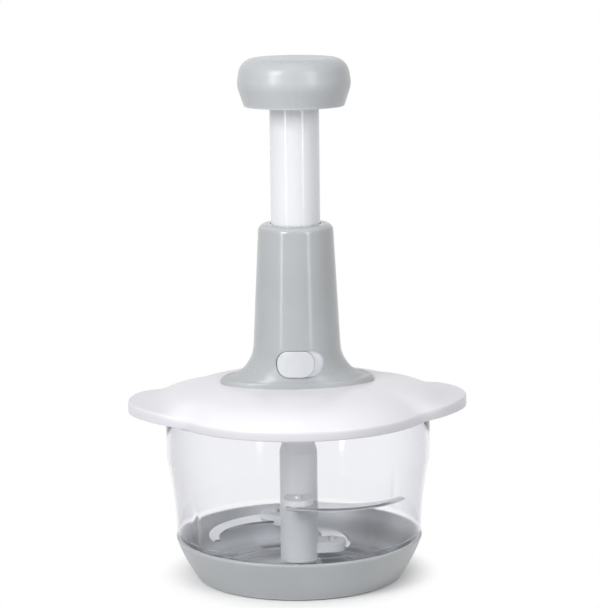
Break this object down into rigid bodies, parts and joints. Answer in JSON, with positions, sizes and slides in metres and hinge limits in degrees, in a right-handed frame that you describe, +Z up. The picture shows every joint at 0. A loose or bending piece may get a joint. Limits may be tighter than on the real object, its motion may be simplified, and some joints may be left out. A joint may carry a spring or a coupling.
{
  "type": "plunger food chopper",
  "caption": "Hand-pressed food chopper: a palm knob on a spring-loaded tube turns curved blades in a clear round bowl under a domed lid with side ears.",
  "frame": {"origin": "centre of the base's underside, on the surface that the chopper stands on", "axes": "+Z up along the plunger's axis, +X towards the right ear, -Y towards the slide lock at the front"},
  "size_m": [0.216, 0.1732, 0.331],
  "materials": {
    "grey_plastic": "satin moulded grey plastic",
    "light_grey_plastic": "satin moulded light grey plastic",
    "white_plastic": "satin moulded white plastic",
    "glossy_white_plastic": "polished white plastic",
    "clear_plastic": "clear moulded plastic",
    "bearing_plastic": "natural low-friction plastic",
    "soft_rubber": "soft moulded rubber",
    "clear_silicone": "milky silicone",
    "steel": "bright turned steel",
    "blade_steel": "polished stainless steel with a ground edge",
    "spring_steel": "bright drawn spring wire"
  },
  "bodies": {
    "base": {"base_cup": "grey_plastic", "anti_slip_ring": "soft_rubber"},
    "bowl": {"bowl": "clear_plastic", "blade_pin": "steel"},
    "blades": {"blade_hub": "grey_plastic", "blade_upper": "blade_steel", "blade_middle": "blade_steel", "blade_lower": "blade_steel", "blade_rivets": "grey_plastic"},
    "lid": {"lid": "white_plastic", "lid_seal": "clear_silicone", "tower": "grey_plastic", "tower_screws": "steel", "guide_sleeve": "bearing_plastic", "spindle_bush": "bearing_plastic", "shaft_seal": "soft_rubber", "stop_ring": "soft_rubber", "spring_seat": "bearing_plastic"},
    "lock": {"lock_button": "light_grey_plastic", "lock_latch": "bearing_plastic", "latch_screw": "steel"},
    "plunger": {"knob_cap": "grey_plastic", "knob_plate": "grey_plastic", "knob_screws": "steel", "plunger_tube": "glossy_white_plastic", "drive_nut": "bearing_plastic", "return_spring": "spring_steel"},
    "drive": {"twisted_spindle": "steel", "drive_coupling": "bearing_plastic", "coupling_screw": "steel"}
  },
  "joints": [
    {"name": "bowl_lift", "type": "slide", "parent": "base", "child": "bowl", "axis": [0, 0, 1], "range_m": [0, 0.035]},
    {"name": "lid_lift", "type": "slide", "parent": "bowl", "child": "lid", "axis": [0, 0, 1], "range_m": [0, 0.06]},
    {"name": "plunger_slide", "type": "slide", "parent": "lid", "child": "plunger", "axis": [0, 0, -1], "range_m": [0, 0.068], "stiffness_N_per_m": 300, "springref_m": -0.03, "deforming": ["return_spring"]},
    {"name": "spindle_spin", "type": "hinge", "parent": "lid", "child": "drive", "pos_m": [0, 0, 0.127], "axis": [0, 0, 1], "range_deg": [-1000, 1]},
    {"name": "blade_spin", "type": "hinge", "parent": "bowl", "child": "blades", "pos_m": [0, 0, 0.0082], "axis": [0, 0, 1], "range_deg": [-1000, 1]},
    {"name": "lock_turn", "type": "hinge", "parent": "lid", "child": "lock", "pos_m": [0, 0, 0.1415], "axis": [0, 0, 1], "range_deg": [0, 12.5]}
  ],
  "couplings": [
    {"joint": "spindle_spin", "follows": "plunger_slide", "rad_per_m": -251.33},
    {"joint": "blade_spin", "follows": "plunger_slide", "rad_per_m": -251.33}
  ]
}
